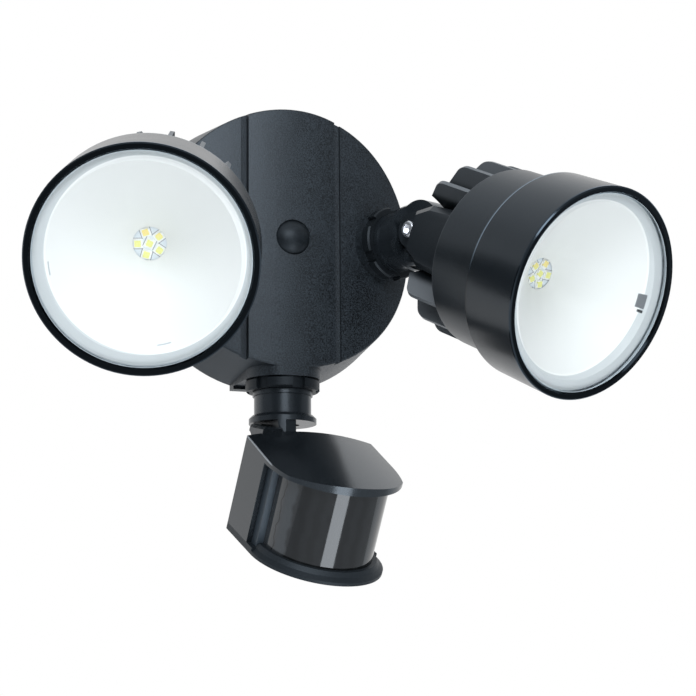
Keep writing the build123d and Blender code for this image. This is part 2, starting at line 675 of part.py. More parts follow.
def head_housing():
    mouth = housing_mouth()
    shoulder = BEZEL_LENGTH - DRUM_STEP
    inner_r = REFLECTOR_FLANGE_R - REFLECTOR_LEDGE
    rear_bore = DRUM_REAR_R - DRUM_WALL
    floor = DRUM_REAR - OVERCUT
    drum = turned([
        (inner_r, mouth),
        (LENS_R, mouth),
        (LENS_R, shoulder),
        (DRUM_FRONT_R, shoulder),
        (DRUM_REAR_R, DRUM_REAR),
        (FIN_FLOOR_R, DRUM_REAR),
        (FIN_FLOOR_R, DRUM_REAR + FIN_FLOOR_THICK),
        (0, DRUM_REAR + FIN_FLOOR_THICK),
        (0, BOARD_PLANE + LED_BOARD_THICK),
        (CORE_R, BOARD_PLANE + LED_BOARD_THICK),
        (CORE_R, floor),
        (rear_bore, floor),
        (rear_bore, shoulder - DRUM_WALL),
        (inner_r, shoulder - 2 * DRUM_WALL),
    ])
    hub = turned([(0, DRUM_REAR), (HUB_R, DRUM_REAR), (HUB_R, HUB_BACK), (0, HUB_BACK)])
    step = 360.0 / FIN_COUNT
    kept = [index for index in range(FIN_COUNT) if min(index, FIN_COUNT - index) > FIN_SKIP]
    fins = [Pos(HEAD_OFFSET, 0, 0) * Rot(0, step * index, 0) * fin() for index in kept]
    housing = drum + hub + fins
    housing -= rod_x(SWING_R, -FLANGE_R - FREE_GAP, HEAD_OFFSET + 2 * FIN_OUTER_R)
    drum_y = station(DRUM_REAR)
    outline = [(-EAR_STEP, EAR_STEP_HALF), (-EAR_SHOULDER, EAR_SHOULDER_HALF), (drum_y + OVERCUT, EAR_HALF)]
    housing += hinge_ear(drum_y, outline, EAR_BEVEL)
    return one_piece(housing - hinge_bore())


# ---------------------------------------------------------------- sensor
def sensor_rear():
    return -SENSOR_BACK


def sensor_bottom():
    return SENSOR_TOP - SENSOR_HEIGHT


def sensor_sides(margin=0.0):
    half = SENSOR_WIDTH / 2 - margin
    return SENSOR_OFFSET - half, SENSOR_OFFSET + half


def hood():
    """Crowned cover plate, its sides curving in to the corners of a bowed front edge."""
    left, right = sensor_sides()
    rear = sensor_rear()
    straight = rear - HOOD_STRAIGHT
    corner_y = rear - HOOD_CORNER_BACK
    corners = [(SENSOR_OFFSET - HOOD_CORNER_HALF, corner_y), (SENSOR_OFFSET + HOOD_CORNER_HALF, corner_y)]
    plan = make_face([
        Polyline((left, straight), (left, rear), (right, rear), (right, straight)),
        TangentArc((right, straight), corners[1], tangent=(0, -1)),
        ThreePointArc(corners[1], (SENSOR_OFFSET, rear - HOOD_LENGTH), corners[0]),
        TangentArc((left, straight), corners[0], tangent=(0, -1)),
    ])
    plan = fillet([vertex for vertex in plan.vertices() if abs(vertex.Y - corner_y) < OVERCUT], HOOD_CORNER_R)
    crown = make_face([
        ThreePointArc((left, 0), (SENSOR_OFFSET, HOOD_CROWN), (right, 0)),
        Polyline((right, 0), (right, -SENSOR_WIDTH), (left, -SENSOR_WIDTH), (left, 0)),
    ])
    edge_z = SENSOR_TOP - HOOD_EDGE_DROP
    roof = Rot(HOOD_SLOPE, 0, 0) * Pos(0, 4 * OVERCUT, 0) * Rot(90, 0, 0) * extrude(crown, 2 * HOOD_LENGTH)
    prism = Pos(0, 0, hood_underside()) * extrude(plan, HOOD_UNDER + HOOD_CROWN)
    return prism & Pos(0, rear, edge_z) * roof


def hood_underside():
    return SENSOR_TOP - HOOD_UNDER


def hinge_clearance():
    """Swept clear of the arm's tongue and the hinge nut, round the hinge axis."""
    nut_side = HINGE_NUT_THICK + HINGE_SCREW_END + FREE_GAP
    return rod_x(SENSOR_SWING_R, -TONGUE_OUTER - FACE_GAP, nut_side)


def sensor_housing():
    left, right = sensor_sides()
    in_left, in_right = sensor_sides(SENSOR_WALL)
    rear = sensor_rear()
    floor = sensor_bottom() + BASE_THICK
    roof = hood_underside()
    shell = block(left, right, rear, rear - SIDE_LENGTH, floor, roof + OVERCUT)
    shell -= block(in_left, in_right, rear - SENSOR_WALL, rear - SIDE_LENGTH - OVERCUT, floor - OVERCUT, roof)
    shell += hood()
    scoop_back = rear - SENSOR_WALL - SENSOR_REAR_BLOCK
    shell += block(-TONGUE_OUTER - EAR_THICK, TONGUE_OUTER, rear, scoop_back, -TONGUE_R, roof + OVERCUT)
    for x in case_posts():
        shell += rod_z(CASE_POST_R, floor, floor + CASE_POST_HEIGHT, x, case_post_y())
    shell -= hinge_clearance()
    ear_end = rear - SENSOR_WALL / 2
    outline = [
        (-SENSOR_EAR_STEP, SENSOR_EAR_STEP_HALF),
        (-SENSOR_EAR_SHOULDER, SENSOR_EAR_SHOULDER_HALF),
        (rear, SENSOR_EAR_HALF),
    ]
    shell += hinge_ear(ear_end, outline, SENSOR_EAR_BEVEL)
    shell -= rod_x(HINGE_POCKET_R, -TONGUE_OUTER - FACE_GAP - EAR_THICK - OVERCUT, lap_face())
    for x in case_posts():
        shell -= rod_z(CASE_SCREW_R, floor - OVERCUT, floor + CASE_SCREW_LENGTH, x, case_post_y())
    return one_piece(shell - hinge_bore())


def case_posts():
    half = SENSOR_WIDTH / 2 - SENSOR_WALL - CASE_POST_R + OVERCUT / 2
    return SENSOR_OFFSET - half, SENSOR_OFFSET + half


def case_post_y():
    return sensor_rear() - SENSOR_WALL - CASE_POST_R + OVERCUT / 2


def frame_screw_points():
    half = SENSOR_WIDTH / 2 - SENSOR_WALL - FRAME_MARGIN - FRAME_LEG / 2
    y = sensor_rear() - (FRAME_BACK + FRAME_FRONT) / 2
    return [(SENSOR_OFFSET - half, y), (SENSOR_OFFSET + half, y)]


def case_screw_points():
    return [(x, case_post_y()) for x in case_posts()] + frame_screw_points()


def lens_frame():
    left, right = sensor_sides(SENSOR_WALL + FRAME_MARGIN)
    back = sensor_rear() - FRAME_BACK
    front = sensor_rear() - FRAME_FRONT
    floor = sensor_bottom() + BASE_THICK
    frame = block(left, right, back, front, floor, hood_underside())
    frame -= block(
        left + FRAME_LEG,
        right - FRAME_LEG,
        back + OVERCUT,
        front - OVERCUT,
        floor + FRAME_RAIL,
        hood_underside() - FRAME_RAIL,
    )
    for x, y in frame_screw_points():
        frame -= rod_z(CASE_SCREW_R, floor - OVERCUT, floor + CASE_SCREW_LENGTH, x, y)
    return frame


def pir_lens():
    """Half-round window with short straight legs."""
    shapes = []
    back = sensor_rear() - FRAME_FRONT
    side_y = sensor_rear() - SENSOR_FLAT
    for radius in (PIR_LENS_R, PIR_LENS_R - PIR_LENS_WALL):
        left = SENSOR_OFFSET - radius
        right = SENSOR_OFFSET + radius
        plan = make_face([
            Polyline((left, side_y), (left, back), (right, back), (right, side_y)),
            ThreePointArc((right, side_y), (SENSOR_OFFSET, side_y - radius), (left, side_y)),
        ])
        shapes.append(plan)
    floor = sensor_bottom() + BASE_THICK
    return Pos(0, 0, floor) * extrude(shapes[0] - shapes[1], hood_underside() - floor)


def sensor_base():
    """Bottom plate, its front half round with a sloping edge and a collar, and wells for the dials."""
    bottom = sensor_bottom()
    floor = bottom + BASE_THICK
    rear = sensor_rear()
    collar_start = rear - FRAME_FRONT - RUN_GAP
    side_y = rear - SENSOR_FLAT
    outer = SENSOR_WIDTH / 2
    inner = PIR_LENS_R + RUN_GAP
    section = [
        (0, bottom),
        (outer, bottom),
        (outer, bottom + BASE_EDGE),
        (BASE_SLOPE_R, floor),
        (BASE_COLLAR_R, floor + BASE_COLLAR_HEIGHT),
        (inner, floor + BASE_COLLAR_HEIGHT),
        (inner, floor),
        (0, floor),
    ]
    profile = make_face(Polyline(*section, close=True))
    round_front = Pos(SENSOR_OFFSET, side_y, 0) * revolve(Plane.XZ * profile, Axis.Z, revolution_arc=-180)
    straight = extrude(Plane.XZ * profile, collar_start - side_y)
    legs = Pos(SENSOR_OFFSET, collar_start, 0) * (straight + mirrored(straight))
    left, right = sensor_sides()
    plate = block(left, right, rear, side_y, bottom, floor) + round_front + legs
    for x, y in dial_points():
        plate += rod_z(dial_well_r() + DIAL_CUP_WALL, floor - OVERCUT, dial_roof() + DIAL_CUP_FLOOR, x, y)
    for x, y in dial_points():
        plate -= rod_z(dial_well_r(), bottom - OVERCUT, dial_roof(), x, y)
        plate -= rod_z(DIAL_SHAFT_R + RUN_GAP, bottom, dial_roof() + DIAL_CUP_FLOOR + OVERCUT, x, y)
    for x, y in case_screw_points():
        plate -= rod_z(CASE_SCREW_R, bottom - OVERCUT, floor + OVERCUT, x, y)
        plate -= rod_z(CASE_SCREW_HEAD_R + TRIM_GAP, bottom - OVERCUT, bottom + CASE_SCREW_HEAD_H, x, y)
    return one_piece(plate)


def dial_well_r():
    return DIAL_R + DIAL_WELL_GAP


def dial_roof():
    return sensor_bottom() + DIAL_HEIGHT + DIAL_RECESS + FACE_GAP


def dial_points():
    y = sensor_rear() - DIAL_SETBACK
    middle = (DIAL_COUNT - 1) / 2
    return [(SENSOR_OFFSET + DIAL_SPACING * (index - middle), y) for index in range(DIAL_COUNT)]


def dial():
    """Small screwdriver dial at its own origin, slot facing down."""
    face = sensor_bottom() + DIAL_RECESS
    knob = rod_z(DIAL_R, face, face + DIAL_HEIGHT)
    knob += rod_z(DIAL_SHAFT_R, face, dial_roof() + DIAL_CUP_FLOOR)
    half = DIAL_SLOT_WIDTH / 2
    reach = DIAL_R + OVERCUT
    return knob - block(-reach, reach, -half, half, face - OVERCUT, face + DIAL_SLOT_DEPTH)


def case_screws():
    head_top = sensor_bottom() + CASE_SCREW_HEAD_H
    tip = sensor_bottom() + BASE_THICK + CASE_SCREW_LENGTH - OVERCUT
    screws = []
    for x, y in case_screw_points():
        head = rod_z(CASE_SCREW_HEAD_R, sensor_bottom() + TRIM_GAP, head_top, x, y)
        screws.append(head + rod_z(CASE_SCREW_R, head_top, tip, x, y))
    return Compound(screws)


def sensor_board():
    """Upright board against the back of the lens frame."""
    left, right = sensor_sides(SENSOR_WALL + FRAME_MARGIN + TRIM_GAP)
    back = sensor_rear() - FRAME_BACK
    floor = sensor_bottom() + BASE_THICK
    return block(left, right, back, back + SENSOR_BOARD_THICK, floor + TRIM_GAP, hood_underside() - TRIM_GAP)


def pir_element():
    """Round detector can on the front of the sensor board, behind the lens."""
    face = sensor_rear() - FRAME_BACK
    height = (sensor_bottom() + hood_underside()) / 2
    can = rod_y(PIR_CAN_R, face, face - PIR_CAN_HEIGHT, SENSOR_OFFSET, height)
    can += rod_y(PIR_CAN_R + PIR_CAN_RIM, face, face - PIR_CAN_RIM, SENSOR_OFFSET, height)
    window = PIR_CAN_R / 2
    top = face - PIR_CAN_HEIGHT
    left = SENSOR_OFFSET - window
    right = SENSOR_OFFSET + window
    return can - block(left, right, top - OVERCUT, top + PIR_CAN_RIM / 2, height - window, height + window)


# ---------------------------------------------------------------- assembly
HEAD_PARTS = {
    "head_housing": head_housing,
    "head_bezel": bezel,
    "head_lens": lens,
    "head_lens_gasket": lens_gasket,
    "head_reflector": reflector,
    "head_led_board": led_board,
    "head_led_chips": led_chips,
    "head_hinge_screw": hinge_screw,
    "head_hinge_nut": hinge_nut,
}

SENSOR_PARTS = {
    "sensor_housing": sensor_housing,
    "sensor_lens_frame": lens_frame,
    "sensor_lens": pir_lens,
    "sensor_base": sensor_base,
    "sensor_board": sensor_board,
    "sensor_detector": pir_element,
    "sensor_hinge_screw": hinge_screw,
    "sensor_hinge_nut": hinge_nut,
    "sensor_case_screws": case_screws,
}

parts = {
    "canopy_housing": canopy_housing(),
    "wall_gasket": wall_gasket(),
    "mounting_strap": mounting_strap(),
    "mounting_bolt": mounting_bolt(),
    "bolt_plug": bolt_plug(),
    "control_board": control_board(),
    "board_components": board_components(),
    "board_standoffs": board_standoffs(),
    "board_screws": board_screws(),
}

for node, make in {"arm_stem": arm_stem, "arm_locknut": arm_locknut}.items():
    piece = make()
    parts["right_" + node] = arm_place() * piece
    parts["left_" + node] = mirrored(arm_place() * piece)
    parts["sensor_" + node] = sensor_arm_place() * piece

for node, make in HEAD_PARTS.items():
    placed = arm_place() * Rot(HEAD_TILT, 0, 0) * make()
    parts["right_" + node] = placed
    parts["left_" + node] = mirrored(placed)

sensor_hinge = Pos(0, SENSOR_ARM_Y, SENSOR_SEAT_Z - SEAT_TO_HINGE)
sensor_place = sensor_hinge * Rot(0, 0, SENSOR_YAW) * Rot(SENSOR_PITCH, 0, 0)
for node, make in SENSOR_PARTS.items():
    parts[node] = sensor_place * make()
for index, (x, y) in enumerate(dial_points()):
    parts[f"sensor_dial_{index + 1}"] = sensor_place * Pos(x, y, 0) * dial()

os.makedirs("parts", exist_ok=True)
for node, shape in parts.items():
    export_step(shape, f"parts/{node}.step")
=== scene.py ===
"""Motion sensor security light: finishes, groove walls, studio stage and camera."""

import math

import bpy
from bpy.props import FloatProperty, FloatVectorProperty, PointerProperty
from mathutils import Matrix, Vector


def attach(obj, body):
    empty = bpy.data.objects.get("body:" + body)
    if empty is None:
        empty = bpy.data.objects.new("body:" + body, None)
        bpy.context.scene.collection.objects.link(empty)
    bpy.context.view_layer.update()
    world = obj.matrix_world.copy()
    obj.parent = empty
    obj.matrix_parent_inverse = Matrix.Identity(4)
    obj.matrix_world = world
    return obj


bl_info = {
    "name": "Security light finishes",
    "version": (1, 0, 0),
    "blender": (4, 5, 0),
    "location": "3D View > Sidebar > Security Light",
    "description": "Paints a motion sensor security light and sets up its studio stage",
    "category": "Object",
}

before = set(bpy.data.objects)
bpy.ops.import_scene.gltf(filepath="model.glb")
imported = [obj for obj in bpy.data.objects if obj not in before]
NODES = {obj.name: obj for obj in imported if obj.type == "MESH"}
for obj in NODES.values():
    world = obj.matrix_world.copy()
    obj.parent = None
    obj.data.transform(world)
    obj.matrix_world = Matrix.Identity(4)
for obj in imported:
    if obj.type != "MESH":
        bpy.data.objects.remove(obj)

SIDES = ("left", "right")
MM = 0.001
DEGREES = 180.0 / math.pi

# Coats: tint of the gloss, grain in cells per metre, and the share of fine grain in the colour.
COAT_TINT = (0.84, 0.92, 1.0)
CANOPY_GRAIN = 1700.0
COAT_GRAIN = 1300.0
PLASTIC_GRAIN = 900.0
RUBBER_GRAIN = 500.0
STEEL_GRAIN = 700.0
MOTTLE_GRAIN = 70.0
FOAM_GRAIN = 1500.0
FOAM_CLOUDS = 120.0
FINE_SHARE = 0.85

# Colours that aren't plain greys.
FRAME_WHITE = (0.95, 0.95, 0.9)
CONE_DEEP_SHADE = (0.8, 0.8, 0.76)
CONE_FRONT_WHITE = (0.86, 0.85, 0.81)
FLANGE_GREY = (0.6, 0.62, 0.61)
MOUTH_HIGHLIGHT = (0.92, 0.92, 0.88)
LENS_CLEAR = (0.9, 0.97, 1.0)
LENS_EDGE_HIGHLIGHT = (0.72, 0.8, 0.84)
LED_BOARD_INNER = (0.82, 0.86, 0.84)
LED_BOARD_OUTER = (0.7, 0.75, 0.78)
LED_TRACK = (0.12, 0.11, 0.14)
LED_PAD = (0.1, 0.1, 0.12)
PHOSPHOR_LOW = (0.86, 0.84, 0.26)
PHOSPHOR_HIGH = (0.95, 0.76, 0.24)
STEEL = (0.78, 0.78, 0.8)
FLOOR_PALE = (0.65, 0.65, 0.65)
BOARD_GREEN = (0.02, 0.13, 0.05)
BOARD_TRACK = (0.04, 0.22, 0.09)
SOLDER = (0.45, 0.42, 0.36)

# Tracks of the circuit boards in radians per metre, and their clouds and pads in cells per metre.
BOARD_WAVES_ACROSS = 1500.0
BOARD_WAVES_UP = 260.0
BOARD_CLOUDS = 60.0
BOARD_BEND = 6.0
BOARD_PADS = 300.0

# Where the arms and the sensor stand in the row frame, in metres and degrees.
ARM_AZIMUTH = 21.3
HEAD_TILT = 25.0
HEAD_OFFSET = 8.3 * MM
RIM_FORWARD = 100.0 * MM
HINGE_RIGHT = Vector((0.058505, -0.063681, 0.001))
SENSOR_HINGE = Vector((0.0, -0.026, -0.0925))
SENSOR_YAW = 7.5
SENSOR_PITCH = 29.3

# Walls of the canopy's grooves, in millimetres.
GROOVE_WALL_X = (20.1, 20.8)
GROOVE_WALL_Y = (-38.3, -36.6)
GROOVE_WALL_Z = (-55.0, 55.0)

# Head paint: depths behind the rim, and distances from the head's axis.
# Fins: where the painted sheen on the fins begins and is full.
FIN_DEPTH = 58.0 * MM
FIN_DEPTH_FULL = 59.5 * MM
FIN_INNER = 28.0 * MM
FIN_OUTER = 33.0 * MM
BEZEL_EDGE = 1.5 * MM
BEZEL_EDGE_FULL = 0.9 * MM
# Radius beyond which the front edge gets a painted highlight line.
BEZEL_HIGHLIGHT_LINE = 46.5 * MM
BEZEL_SEAM = 29.2 * MM
# Heights on the seam from painted shade below to a painted highlight above.
SEAM_SHADE_UP = -8.0 * MM
SEAM_HIGHLIGHT_UP = 12.0 * MM
SOFT_LINE = 0.3 * MM
# Radius where the painted highlight on the lens's stepped edge begins and is full.
LENS_EDGE = 43.3 * MM
LENS_EDGE_FULL = 43.9 * MM
# Depths from the cone's back, where its painted shade is full, to its front, where it is gone.
CONE_BACK = 34.0 * MM
CONE_FRONT = 2.0 * MM
CONE_CLOUDS = 40.0

# Mouth of the reflector's cone: how far it is shifted across, and its radius.
REFLECTOR_MOUTH = {"right": (-2.0 * MM, 38.9 * MM), "left": (1.2 * MM, 40.1 * MM)}
REFLECTOR_RISE = 1.1 * MM
# Width and softness of the painted highlight line inside the mouth.
MOUTH_LINE = 0.5 * MM
MOUTH_SOFT = 0.15 * MM
FLANGE_STEP = 0.4 * MM
# Catches in the reflector: degrees round the axis, millimetres from it (from, to, softness), level.
CATCHES = {
    "right": (
        ((84.5, 94.3, 0.4), (35.2, 38.2, 0.15), 0.13),
        ((95.2, 97.2, 0.3), (36.3, 38.2, 0.15), 0.01),
    ),
    "left": (
        ((-100.0, -91.5, 0.4), (37.4, 37.8, 0.1), 0.45),
        ((164.0, 173.0, 0.4), (36.1, 36.5, 0.1), 0.5),
    ),
}

# LED chips: one in the middle, numbered -1, and five round it, each turned to face outward.
CHIPS = range(-1, 5)
CHIP_RING = 4.9 * MM
CHIP_TURN = math.radians(72.0)
CHIP_START = math.radians(18.0)
CHIP_MIDDLE_TURN = math.radians(27.0)
CHIP_FRAME = 2.15 * MM
CHIP_FRAME_FULL = 2.0 * MM
PHOSPHOR_EDGE = 1.45 * MM
PHOSPHOR_FULL = 1.25 * MM
TRACK_FROM = 2.1 * MM
TRACK_TO = 2.35 * MM
TRACK_END = 2.3 * MM
TRACK_SOFT = 0.1 * MM
PAD_GRAIN = 260.0
BOARD_SHADE = 140.0  # the board darkens outward to its full shade over 1 / 140 m
WARM_FROM = 1.0 * MM
WARM_TO = 5.0 * MM

# Sensor paint: the painted highlight along the hood's left edge, and the window's facets and painted
# reflection round its own axis in degrees.
HOOD_LEFT = -24.8 * MM
HOOD_SLOPE = 0.0734
HOOD_EDGE_UP = (7.2 + 0.94) * MM
HOOD_HIGHLIGHT_SIDE = (0.45 * MM, 0.2 * MM)
HOOD_HIGHLIGHT_TOP = (-0.75 * MM, -0.45 * MM)
WINDOW_AXIS_X = 6.4 * MM
WINDOW_AXIS_Y = -41.4 * MM
FACET_PITCH = 7.5
WINDOW_REFLECTION_FROM = -58.0
WINDOW_REFLECTION_FULL = -63.0
WINDOW_SEAM = (-77.0, -75.6)

# Stage: where the lamps look, and each lamp's heading, height, distance and size.
STAGE_MIDDLE = Vector((0.02, -0.06, -0.03))
KEY = (-18.0, 25.0, 1.5, (1.1, 0.85))
STRIP = (7.0, -50.0, 0.85, (0.33, 0.32))
FLOOR_HALF = 2.2
FLOOR_HEIGHT = -0.9

# Surroundings by direction: where each bright part begins and is full, and its share of the back's level.
BEHIND = (0.2, 0.75)
BEHIND_SLOPE = 0.8
ABOVE = (0.55, 0.95)
ABOVE_SHARE = 0.5
BELOW = (0.1, -0.2)
ASIDE = (0.6, 0.9)
BELOW_SHARE = 0.7


# ---------------------------------------------------------------- shader maths
class Field:
    """A socket of a node tree that can be used in Python arithmetic."""

    def __init__(self, tree, socket):
        self.tree = tree
        self.socket = socket

    def _math(self, operation, *operands):
        node = self.tree.nodes.new("ShaderNodeMath")
        node.operation = operation
        for slot, operand in zip(node.inputs, operands):
            _feed(self.tree, slot, operand)
        return Field(self.tree, node.outputs[0])

    def __add__(self, other):
        return self._math("ADD", self, other)

    __radd__ = __add__

    def __sub__(self, other):
        return self._math("SUBTRACT", self, other)

    def __rsub__(self, other):
        return self._math("SUBTRACT", other, self)

    def __mul__(self, other):
        return self._math("MULTIPLY", self, other)

    __rmul__ = __mul__

    def __pow__(self, other):
        return self._math("POWER", self, other)

    def __abs__(self):
        return self._math("ABSOLUTE", self)

    def angle(self, other):
        """Angle of the point (other, self), in radians."""
        return self._math("ARCTAN2", self, other)

    def sine(self):
        return self._math("SINE", self)

    def least(self, other):
        return self._math("MINIMUM", self, other)

    def most(self, other):
        return self._math("MAXIMUM", self, other)

    def rise(self, start, end):
        """0 below start, 1 above end, smooth between (start may be the larger)."""
        node = self.tree.nodes.new("ShaderNodeMapRange")
        node.interpolation_type = "SMOOTHSTEP"
        low, high = (0.0, 1.0) if start < end else (1.0, 0.0)
        for slot, value in zip(node.inputs, (self, min(start, end), max(start, end), low, high)):
            _feed(self.tree, slot, value)
        return Field(self.tree, node.outputs[0])

    def band(self, low, high, soft):
        """1 between low and high, with soft edges."""
        return self.rise(low - soft, low + soft) * self.rise(high + soft, high - soft)

    def mix(self, at_zero, at_one):
        """Colour between two colours by this factor."""
        node = self.tree.nodes.new("ShaderNodeMix")
        node.data_type = "RGBA"
        _feed(self.tree, node.inputs[0], self)
        _feed(self.tree, node.inputs[6], at_zero)
        _feed(self.tree, node.inputs[7], at_one)
        return Field(self.tree, node.outputs[2])


def _feed(tree, slot, value):
    """Link a field to a socket, or set the socket's own value."""
    if isinstance(value, Field):
        tree.links.new(value.socket, slot)
    elif isinstance(value, (tuple, list)) and slot.type == "RGBA":
        slot.default_value = (*value[:3], 1.0)
    else:
        slot.default_value = value


class Finish:
    """A Principled material under construction."""

    def __init__(self, name, **constants):
        self.material = bpy.data.materials.new(name)
        self.material.use_nodes = True
        self.tree = self.material.node_tree
        self.shader = next(node for node in self.tree.nodes if node.type == "BSDF_PRINCIPLED")
        for socket, value in constants.items():
            self.put(socket.replace("_", " "), value)

    def put(self, socket, value):
        _feed(self.tree, self.shader.inputs[socket], value)

    def take(self, socket):
        """What feeds a socket of the shader so far."""
        return Field(self.tree, self.shader.inputs[socket].links[0].from_socket)

    def node(self, kind, settings=None, inputs=None, output=0):
        """Any other node: its type, its settings, then its sockets' values or links."""
        node = self.tree.nodes.new(kind)
        for name, value in (settings or {}).items():
            setattr(node, name, value)
        for name, value in (inputs or {}).items():
            _feed(self.tree, node.inputs[name], value)
        return Field(self.tree, node.outputs[output])

    def place(self, matrix=None):
        """Position on the piece in metres, optionally seen from another frame."""
        here = self.node("ShaderNodeTexCoord", output="Object")
        if matrix is None:
            return here
        inverse = matrix.inverted()
        return self.node(
            "ShaderNodeMapping",
            {"vector_type": "POINT"},
            {
                "Vector": here,
                "Location": tuple(inverse.to_translation()),
                "Rotation": tuple(inverse.to_euler("XYZ")),
            },
        )

    def split(self, vector):
        return [self.node("ShaderNodeSeparateXYZ", None, {"Vector": vector}, axis) for axis in range(3)]

    def noise(self, place, scale, detail=2.0, roughness=0.5):
        """Noise from 0 to 1; scale counts cells per metre."""
        inputs = {"Vector": place, "Scale": scale, "Detail": detail, "Roughness": roughness}
        return self.node("ShaderNodeTexNoise", None, inputs)

    def bump(self, height, distance):
        self.put("Normal", self.node("ShaderNodeBump", None, {"Height": height, "Distance": distance}))

    def paint(self, *names):
        for name in names:
            piece = NODES[name] if isinstance(name, str) else name
            piece.data.materials.clear()
            piece.data.materials.append(self.material)


def cool(level, lean=0.2):
    """A linear grey that leans to blue."""
    return (level * (1 - lean), level, level * (1 + lean))


def grey(level):
    return (level, level, level)


# ---------------------------------------------------------------- frames
def arm_frame(side):
    """Frame at an arm's hinge: its -Y runs out along the arm, its +X to the right."""
    sign = 1 if side == "right" else -1
    hinge = Vector((sign * HINGE_RIGHT.x, HINGE_RIGHT.y, HINGE_RIGHT.z))
    return Matrix.Translation(hinge) @ Matrix.Rotation(math.radians(sign * ARM_AZIMUTH), 4, "Z")


def head_frame(side):
    """Frame at the middle of a head's rim: its -Y looks out along the head's axis."""
    shift = HEAD_OFFSET if side == "right" else -HEAD_OFFSET
    tilt = Matrix.Rotation(math.radians(HEAD_TILT), 4, "X")
    return arm_frame(side) @ tilt @ Matrix.Translation(Vector((shift, -RIM_FORWARD, 0)))


def sensor_frame():
    """Frame at the sensor's hinge: its -Y looks out of the window, its +Z up through the hood."""
    turn = Matrix.Rotation(math.radians(SENSOR_YAW), 4, "Z")
    return Matrix.Translation(SENSOR_HINGE) @ turn @ Matrix.Rotation(math.radians(SENSOR_PITCH), 4, "X")


# ---------------------------------------------------------------- finishes
def satin_coat(name, level, roughness, speckle, grain=COAT_GRAIN):
    """Dark coat: fine speckle in colour, gloss and height over a slow mottle."""
    finish = Finish(name, Specular_IOR_Level=0.5, Specular_Tint=COAT_TINT)
    place = finish.place()
    fine = finish.noise(place, grain, 3.0, 0.6)
    broad = finish.noise(place, MOTTLE_GRAIN)
    shade = (fine * FINE_SHARE + broad * (1 - FINE_SHARE)).rise(0.36, 0.64)
    finish.put("Base Color", shade.mix(cool(level * (1 - speckle)), cool(level * (1 + speckle))))
    finish.put("Roughness", (fine - 0.5) * (0.4 * speckle) + (broad - 0.5) * 0.05 + roughness)
    finish.bump(fine, 0.0001 * speckle)
    return finish


def box_piece(name, low, high):
    """A box between two corners given in millimetres."""
    mesh = bpy.data.meshes.new(name)
    (x0, y0, z0), (x1, y1, z1) = low, high
    points = [(x * MM, y * MM, z * MM) for x in (x0, x1) for y in (y0, y1) for z in (z0, z1)]
    faces = [(0, 1, 3, 2), (4, 6, 7, 5), (0, 4, 5, 1), (2, 3, 7, 6), (0, 2, 6, 4), (1, 5, 7, 3)]
    mesh.from_pydata(points, [], faces)
    piece = bpy.data.objects.new(name, mesh)
    bpy.context.scene.collection.objects.link(piece)
    return piece


def distance_from_chip(across, up, side, index):
    """How far a point lies from a chip's middle, outward and sideways as the chip is turned."""
    if index < 0:
        turn = CHIP_MIDDLE_TURN
        out = across * math.sin(turn) + up * math.cos(turn)
    else:
        turn = CHIP_START + index * CHIP_TURN
        turn = turn if side == "right" else -turn
        out = across * math.sin(turn) + up * math.cos(turn) - CHIP_RING
    along = across * math.cos(turn) - up * math.sin(turn)
    return abs(out), abs(along)


class SecurityLightSettings(bpy.types.PropertyGroup):
    coat_level: FloatProperty(
        name="Coat level", description="Linear brightness of the coat", default=0.014, min=0.0, max=1.0
    )
    coat_roughness: FloatProperty(
        name="Coat roughness", description="Roughness of the coat", default=0.42, min=0.0, max=1.0
    )
    plastic_level: FloatProperty(
        name="Sensor level", description="Linear brightness of the sensor", default=0.012, min=0.0,
        max=1.0,
    )
    background: FloatVectorProperty(
        name="Background", description="Colour behind the light", default=(1.0, 1.0, 1.0),
        subtype="COLOR",
    )
    light_color: FloatVectorProperty(
        name="Light colour", description="Colour of the studio's light", default=(0.93, 1.0, 1.07),
        subtype="COLOR", size=3, max=2.0,
    )
    back_level: FloatProperty(
        name="Back level", description="Strength of the pale surroundings behind", default=1.25, min=0.0
    )
    front_level: FloatProperty(
        name="Front level", description="Strength of the surroundings in front", default=0.4, min=0.0
    )
    key_power: FloatProperty(
        name="Key power", description="Power of the large soft light", default=17.0, min=0.0,
        unit="POWER",
    )
    strip_power: FloatProperty(
        name="Strip power", description="Power of the small light low down", default=1.9, min=0.0,
        unit="POWER",
    )
    camera_place: FloatVectorProperty(
        name="Camera place", description="Where the camera stands", subtype="TRANSLATION",
        default=(-0.32348, -0.97567, -0.24264), unit="LENGTH", size=3,
    )
    camera_lens: FloatProperty(
        name="Lens", description="Focal length of the camera", default=115.46, min=1.0, unit="CAMERA"
    )
    camera_yaw: FloatProperty(
        name="Yaw", description="Heading of the camera", default=math.radians(-20.524),
        unit="ROTATION",
    )
    camera_pitch: FloatProperty(
        name="Pitch", description="How far the camera looks up", default=math.radians(10.945),
        unit="ROTATION",
    )
    camera_roll: FloatProperty(
        name="Roll", description="Roll of the camera", default=math.radians(-0.498), unit="ROTATION"
    )


